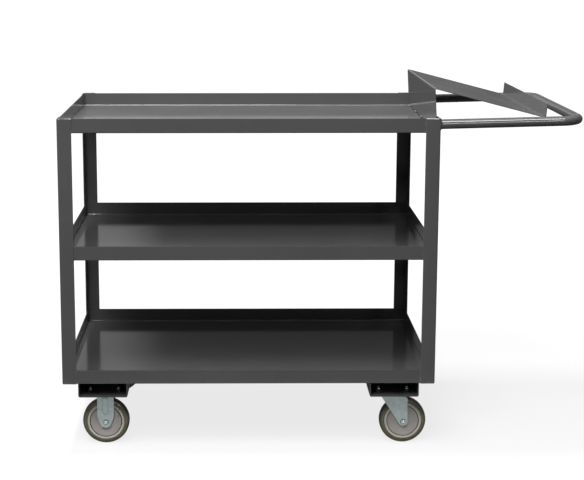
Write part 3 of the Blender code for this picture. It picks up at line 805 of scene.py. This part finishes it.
def build_mount_bolt(caster, number):
    """Bolt, washer and nut that hold a caster plate to its channel, its thread standing clear."""
    node = f"{caster}_mount_bolt_{number}"
    centre, size = size_of(node)
    low = -size.z / 2
    high = size.z / 2
    under = low + plate_head
    nut_low = under + plate_walls
    nut_high = nut_low + plate_nut
    bm = bmesh.new()
    hexagon_prism(bm, plate_flats, low, under - plate_chamfer, plate_chamfer)
    turn_stack(bm, [(plate_flats * share, under - rise) for share, rise in head_seat])
    turn_stack(bm, [(plate_shank, low + plate_head / 2), (plate_shank, high - plate_shank_end)])
    turn_stack(bm, [(radius, nut_low + rise) for radius, rise in washer])
    hexagon_prism(bm, plate_flats, nut_low + washer[-1][1], nut_high, plate_chamfer)
    thread_faces = len(bm.faces)
    threaded_end(bm, plate_thread, nut_high - plate_thread_lap, high)
    second_finish(bm, thread_faces)
    # Head, washer and nut take the dark zinc, painted shade inside the channel; the thread stays
    # bright
    piece = new_piece(f"{caster}_plate_bolt_{number}", bm, [zinc_painted_shade, burnished_zinc], "frame")
    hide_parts(node)
    move_piece(piece, centre)


# Push handle

def handle_line():
    """Centre line of the handle tube, from the frame's boxes, with smooth round bends."""
    low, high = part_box("push_handle")
    side = -low.y - tube_radius
    reach = (high.x - tube_radius - low.x) / cos(handle_rise)
    points = [(0.0, -side)]
    points += arc_points(reach - handle_bend, handle_bend - side, handle_bend, -pi / 2, 0,
                         bend_steps)
    points += arc_points(reach - handle_bend, side - handle_bend, handle_bend, 0, pi / 2,
                         bend_steps)
    points.append((0.0, side))
    base = Vector((low.x, 0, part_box("top_shelf")[1].z - handle_drop))
    along = Vector((cos(handle_rise), 0, sin(handle_rise)))
    return [base + along * x + Vector((0, y, 0)) for x, y in points]


def build_handle():
    """Hollow tube bent to a U, open at the posts."""
    path = handle_line()
    bm = bmesh.new()
    skins = []
    for radius in (tube_radius, tube_radius - tube_wall):
        rings = tube_rings(bm, path, [radius] * len(path), tube_steps)
        join_all(bm, rings)
        skins.append(rings)
    outside, inside = skins
    for end in (0, -1):
        join_rings(bm, outside[end], inside[end])
    piece = new_piece("handle_tube", bm, [grey_paint], "frame")
    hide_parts("push_handle")


# Corner posts

def post_corner_of(end, face):
    """The frame's outer corner at a post, and the outward ways along X and along Y."""
    low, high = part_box(f"corner_post_{end}_{face}")
    out_x = Vector((-1 if end == "plain_end" else 1, 0, 0))
    out_y = Vector((0, -1 if face == "front" else 1, 0))
    corner = Vector((low.x if out_x.x < 0 else high.x, low.y if out_y.y < 0 else high.y, 0))
    return corner, out_x, out_y


def post_outline(fold):
    """Outline of the folded angle, with its outer corner at 0, 0 and its flanges along +u, +v."""
    last = post_flange - post_edge
    inner = post_wall + post_fold_inside
    points = arc_points(fold, fold, fold, pi, 1.5 * pi, fold_steps)
    points += arc_points(last, post_edge, post_edge, -pi / 2, 0, edge_steps)
    points += arc_points(last, post_wall - post_edge, post_edge, 0, pi / 2, edge_steps)
    points += arc_points(inner, inner, post_fold_inside, 1.5 * pi, pi, corner_steps)
    points += arc_points(post_wall - post_edge, last, post_edge, 0, pi / 2, edge_steps)
    points += arc_points(post_edge, last, post_edge, pi / 2, pi, edge_steps)
    return points


def post_heights(low, high):
    """Heights up a post, with its fold's radius and the inset of its two faces at each."""
    rounds = []
    for k in range(corner_steps + 1):
        angle = pi / 2 * k / corner_steps
        rounds.append((post_bevel[0] + (post_corner - post_bevel[0]) * (1 - sin(angle)),
                       post_fold + post_corner * (1 - cos(angle)), 0.0))
    rounds.append((0.0, post_fold + post_corner, post_bevel[1]))
    heights = [(low + rise, fold, inset) for rise, fold, inset in reversed(rounds)]
    return heights + [(high - drop, fold, inset) for drop, fold, inset in rounds]


def build_post(end, face):
    """A post folded from plate: round fold, rounded edges, its outer corners ground off."""
    node = f"corner_post_{end}_{face}"
    low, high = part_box(node)
    corner, out_x, out_y = post_corner_of(end, face)
    bm = bmesh.new()
    rings = []
    for z, fold, inset in post_heights(low.z, high.z):
        rings.append([bm.verts.new(corner - out_x * max(u, inset) - out_y * max(v, inset)
                                   + Vector((0, 0, z))) for u, v in post_outline(fold)])
    close_stack(bm, rings)
    piece = new_piece(f"folded_post_{end}_{face}", bm, [grey_paint], "frame",
                      smooth=post_smooth)
    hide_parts(node)


# Welds

def bead(bm, start, end, radius):
    """A weld bead from start to end: overlapping ripples, thinner at both ends."""
    length = (end - start).length
    count = max(2 * ripple_steps, int(length / bead_ripple * ripple_steps))
    path = []
    radii = []
    for k in range(count + 1):
        share = k / count
        ripple = 1 - bead_hollow + bead_hollow * abs(sin(pi * share * length / bead_ripple))
        near = min(share, 1 - share) * length
        taper = min(1.0, bead_tip + bead_growth * near / (radius + bead_run_in))
        path.append(start.lerp(end, share))
        radii.append(radius * ripple * taper * random.uniform(*weld_uneven))
    close_stack(bm, tube_rings(bm, path, radii, bead_steps))


def collar(bm, centre, axis, inner, leg):
    """A fillet weld round a tube end: a rippled ring between the tube and the plate."""
    side = axis.cross(Vector((0, 0, 1))).normalized()
    up = side.cross(axis).normalized()
    rings = []
    for k in range(collar_steps):
        angle = 2 * pi * k / collar_steps
        out = side * cos(angle) + up * sin(angle)
        ripple = 1 - collar_hollow + collar_hollow * abs(sin(angle * collar_waves))
        swell = leg * ripple * random.uniform(*weld_uneven)
        rings.append([bm.verts.new(centre + out * (inner + gap + swell * outward)
                                   + axis * swell * ahead)
                      for gap, outward, ahead in collar_section])
    for here, there in zip(rings, rings[1:] + rings[:1]):
        join_rings(bm, here, there)


def build_handle_welds():
    """Collars where the handle's two ends meet the posts."""
    path = handle_line()
    post_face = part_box("corner_post_handle_end_front")[1].x
    for end, name in ((path[0], "front"), (path[-1], "rear")):
        bm = bmesh.new()
        collar(bm, Vector((post_face, end.y, end.z)), Vector((1, 0, 0)), tube_radius, collar_leg)
        new_piece(f"handle_weld_{name}", bm, [grey_paint], "frame",
                  smooth=weld_smooth)


def ground_strip(bm, place, bottom, top, out, across):
    """A weld ground to a small fillet: a curved strip in the step between post and lip."""
    section = [Vector((0, 0, 0))]
    for k in range(corner_steps + 1):
        angle = pi / 2 * k / corner_steps
        section.append(out * strip_leg * (1 - sin(angle)) + across * strip_leg * (1 - cos(angle)))
    close_stack(bm, [[bm.verts.new(place + Vector((0, 0, z)) + offset) for offset in section]
                     for z in (bottom, top)])


def build_post_welds(end, face):
    """Ground welds on a post's two free edges at each shelf, and seams along its top end."""
    corner, out_x, out_y = post_corner_of(end, face)
    flanges = ((out_x, out_y), (out_y, out_x))
    bm = bmesh.new()
    for level in levels:
        shelf_low, shelf_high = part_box(level)
        for along, through in flanges:
            place = corner - along * post_flange - through * (post_wall + weld_fit)
            ground_strip(bm, place, shelf_low.z + strip_low, shelf_high.z - strip_top, through,
                         -along)
    top = Vector((0, 0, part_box(f"corner_post_{end}_{face}")[1].z - seam_sink))
    for along, through in flanges:
        seam = corner - through * post_wall + top
        bead(bm, seam - along * seam_ends[0], seam - along * (post_flange - seam_ends[1]),
             seam_bead)
    new_piece(f"post_welds_{end}_{face}", bm, [grey_paint], "frame")


def build_channel_welds(end):
    """Stitch welds where a caster channel's flanges meet the bottom shelf."""
    low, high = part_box(f"caster_channel_{end}")
    z = high.z - stitch_sink
    bm = bmesh.new()
    for x in (low.x - stitch_sink, high.x + stitch_sink):
        for middle in stitch_places:
            bead(bm, Vector((x, middle - stitch_half, z)), Vector((x, middle + stitch_half, z)),
                 stitch_bead)
    # The stitches take the channels' coat, painted dark as shade
    new_piece(f"channel_welds_{end}", bm, [channel_painted_shade], "frame",
              smooth=weld_smooth)


def build_board_welds():
    """Stitches along the riser's foot, and tacks where the board rests on the handle."""
    low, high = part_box("writing_board")
    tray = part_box("top_shelf")[1]
    x = tray.x - 2 * sheet_wall - weld_fit - foot_offset
    z = low.z + foot_lift
    places = [low.y + inset for inset in foot_ends] + [0.0]
    places += [high.y - inset for inset in reversed(foot_ends)]
    bm = bmesh.new()
    for middle in places:
        bead(bm, Vector((x, middle - foot_half, z)), Vector((x, middle + foot_half, z)), foot_bead)
    for y in (low.y - tack_out, high.y + tack_out):
        for back in tack_places:
            start, end = [Vector((high.x - back + step, y, tray.z - drop))
                          for step, drop in zip(tack_span, tack_drops)]
            bead(bm, start, end, tack_bead)
    new_piece("board_welds", bm, [grey_paint], "frame", smooth=weld_smooth)


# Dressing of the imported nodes

def dress(node, finish, rounding=0.0):
    """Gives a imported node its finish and, where wanted, a small round on its sharp edges."""
    piece = nodes[node]
    piece.data.materials.clear()
    piece.data.materials.append(finish)
    if rounding:
        bevel = piece.modifiers.new("Rounding", "BEVEL")
        bevel.width = rounding
        bevel.segments = 2
        bevel.limit_method = "ANGLE"
        bevel.angle_limit = sharp_edge
        bevel.harden_normals = True


def dress_nodes():
    """Finishes for the nodes that stay: trays, channels, board, forks and bearings."""
    for level in levels:
        dress(level, grey_paint, sheet_round)
    for end in ends:
        dress(f"caster_channel_{end}", channel_painted_shade, channel_round)
    dress("writing_board", grey_paint, sheet_round)
    for caster in casters:
        dress(f"{caster}_fork", zinc, pressed_round)
        dress(f"{caster}_axle_bush", bright_zinc)
    for caster in swivels:
        dress(f"{caster}_top_plate", zinc, pressed_round)
        dress(f"{caster}_kingpin", bright_zinc)
        dress(f"{caster}_ball_race", steel)


# Studio

def mirror_ray(tree, path):
    """1 for rays from a gloss or through glass."""
    return math_node(tree, "MAXIMUM", path["Is Glossy Ray"], path["Is Transmission Ray"])


def by_ray(tree, light, gloss, eye):
    """One shader for light that bounces, one for what glosses mirror, and one for the camera."""
    path = new_node(tree, "ShaderNodeLightPath").outputs
    bounced = mix_shaders(tree, mirror_ray(tree, path), light, gloss)
    return mix_shaders(tree, path["Is Camera Ray"], bounced, eye)


def floor_mirrored(tree, middle):
    """What glosses see of the floor: a glowing patch before the casters, painted light for their
    metal to mirror, and dark elsewhere.
    """
    part = new_node(tree, "ShaderNodeSeparateXYZ", {0: middle}).outputs
    aside = math_node(tree, "ABSOLUTE", part["X"])
    near = spread(tree, part["Y"], sheen_front[0] - sheen_fade[0], sheen_front[0])
    far = spread(tree, part["Y"], sheen_front[1], sheen_front[1] + sheen_fade[1], 1.0, 0.0)
    patch = math_node(tree, "MULTIPLY", math_node(tree, "MULTIPLY", near, far),
                      spread(tree, aside, sheen_half, sheen_half + sheen_fade[2], 1.0, 0.0))
    return spread(tree, patch, 0.0, 1.0, sheen_outside, sheen_level)


def floor_material():
    """White to the eye with the shadow on it, grey as a light, and mostly dark to glosses."""
    material = bpy.data.materials.new("studio_floor")
    material.use_nodes = True
    tree = material.node_tree
    tree.nodes.clear()
    middle = new_node(tree, "ShaderNodeVectorMath", {0: object_place(tree),
                                                     1: (frame_middle, 0, 0)},
                      operation="SUBTRACT").outputs[0]
    oval = new_node(tree, "ShaderNodeVectorMath", {0: middle, 1: (*floor_oval, 1)},
                    operation="DIVIDE").outputs[0]
    away = new_node(tree, "ShaderNodeVectorMath", {0: oval}, operation="LENGTH").outputs["Value"]
    grey = spread(tree, away, *grey_reach, *floor_grey)
    glow = white_shader(tree, "ShaderNodeEmission", spread(tree, away, *glow_reach, *floor_glow))
    dull = new_node(tree, "ShaderNodeBsdfDiffuse", {"Color": grey}).outputs[0]
    shadowed = (floor_share, floor_share, floor_share, 1)
    matt = new_node(tree, "ShaderNodeBsdfDiffuse", {"Color": shadowed}).outputs[0]
    white = new_node(tree, "ShaderNodeAddShader", {0: matt, 1: glow}).outputs[0]
    sheen = white_shader(tree, "ShaderNodeEmission", floor_mirrored(tree, middle))
    new_node(tree, "ShaderNodeOutputMaterial", {"Surface": by_ray(tree, dull, sheen, white)})
    return material


def build_floor():
    """A large plain floor just under the wheels."""
    half = floor_size / 2
    bm = bmesh.new()
    bm.faces.new([bm.verts.new((x, y, -floor_drop))
                  for x, y in ((-half, -half), (half, -half), (half, half), (-half, half))])
    mesh = bpy.data.meshes.new("studio_floor")
    bm.to_mesh(mesh)
    bm.free()
    mesh.materials.append(floor_material())
    floor = bpy.data.objects.new("studio_floor", mesh)
    bpy.context.scene.collection.objects.link(floor)


def world_light(tree, toward, side):
    """The world as a light: brighter overhead, with a low fill from behind and the right."""
    dome = math_node(tree, "MULTIPLY", side, spread(tree, toward["Z"], *dome_heights, *dome_light))
    behind = spread(tree, math_node(tree, "MAXIMUM", toward["X"], toward["Y"]), *fill_sides)
    low = math_node(tree, "MULTIPLY", behind,
                    spread(tree, toward["Z"], *fill_heights, low_fill, 0.0))
    return math_node(tree, "ADD", dome, low)


def world_gloss(tree, toward, side):
    """The world that glosses mirror: a band near the horizon, a pale top, a panel at the left."""
    band = math_node(tree, "MINIMUM",
                     spread(tree, toward["Z"], *band_rise, gloss_low, gloss_band),
                     spread(tree, toward["Z"], *band_fall, gloss_band, gloss_low))
    high = spread(tree, toward["Z"], *top_heights)
    shine = math_node(tree, "MULTIPLY", side, math_node(tree, "MAXIMUM", band, high))
    left = math_node(tree, "MINIMUM", spread(tree, toward["X"], *panel_edge, 1.0, 0.0),
                     spread(tree, toward["Z"], *panel_rise))
    panel = math_node(tree, "MINIMUM", left, spread(tree, toward["Z"], *panel_fall, 1.0, 0.0))
    return math_node(tree, "ADD", shine, math_node(tree, "MULTIPLY", panel, gloss_panel))


def build_world():
    """White to the eye, with one dome as a light and another one for glosses to mirror. Both
    are brighter to the left and to the front."""
    world = bpy.data.worlds.new("studio")
    bpy.context.scene.world = world
    world.use_nodes = True
    tree = world.node_tree
    tree.nodes.clear()
    facing = new_node(tree, "ShaderNodeTexCoord").outputs["Generated"]
    toward = new_node(tree, "ShaderNodeSeparateXYZ", {0: facing}).outputs
    side = math_node(tree, "MULTIPLY",
                     spread(tree, toward["X"], -side_reach, side_reach, *side_light),
                     spread(tree, toward["Y"], -side_reach, side_reach, *depth_light))
    soft = white_shader(tree, "ShaderNodeBackground", world_light(tree, toward, side))
    pale = white_shader(tree, "ShaderNodeBackground", world_gloss(tree, toward, side))
    white = white_shader(tree, "ShaderNodeBackground", 1.0)
    new_node(tree, "ShaderNodeOutputWorld", {"Surface": by_ray(tree, soft, pale, white)})


def build_lamp(name, place, aim, width, depth, watts, unseen_by):
    """A rectangular lamp turned to its aim, which one kind of rays may miss."""
    light = bpy.data.lights.new(name, "AREA")
    light.shape = "RECTANGLE"
    light.size = width
    light.size_y = depth
    light.energy = watts
    lamp = bpy.data.objects.new(name, light)
    bpy.context.scene.collection.objects.link(lamp)
    lamp.location = place
    lamp.rotation_euler = (Vector(aim) - Vector(place)).to_track_quat("-Z", "Y").to_euler()
    lamp.visible_diffuse = unseen_by != "diffuse"
    lamp.visible_glossy = unseen_by != "glossy"


def build_camera():
    """The photograph's viewpoint, as the scene's camera."""
    camera = bpy.data.objects.new("camera", bpy.data.cameras.new("camera"))
    bpy.context.scene.collection.objects.link(camera)
    camera.location = camera_place
    camera.rotation_euler = (pi / 2 - camera_pitch, 0, camera_turn)
    camera.data.lens = camera_lens
    camera.data.shift_x, camera.data.shift_y = camera_shift
    bpy.context.scene.camera = camera


build_camera()
build_world()
for lamp in lamps:
    build_lamp(*lamp)
build_floor()
dress_nodes()
for caster in casters:
    build_wheel_core(caster)
    build_tyre(caster)
    build_axle_bolt(caster)
    build_axle_nut(caster)
    for number in (1, 2, 3, 4):
        build_mount_bolt(caster, number)
build_handle()
build_handle_welds()
for end in ends:
    for face in ("front", "rear"):
        build_post(end, face)
        build_post_welds(end, face)
for end in ends:
    build_channel_welds(end)
build_board_welds()
bpy.context.scene.view_settings.view_transform = "Standard"

bpy.context.view_layer.update()
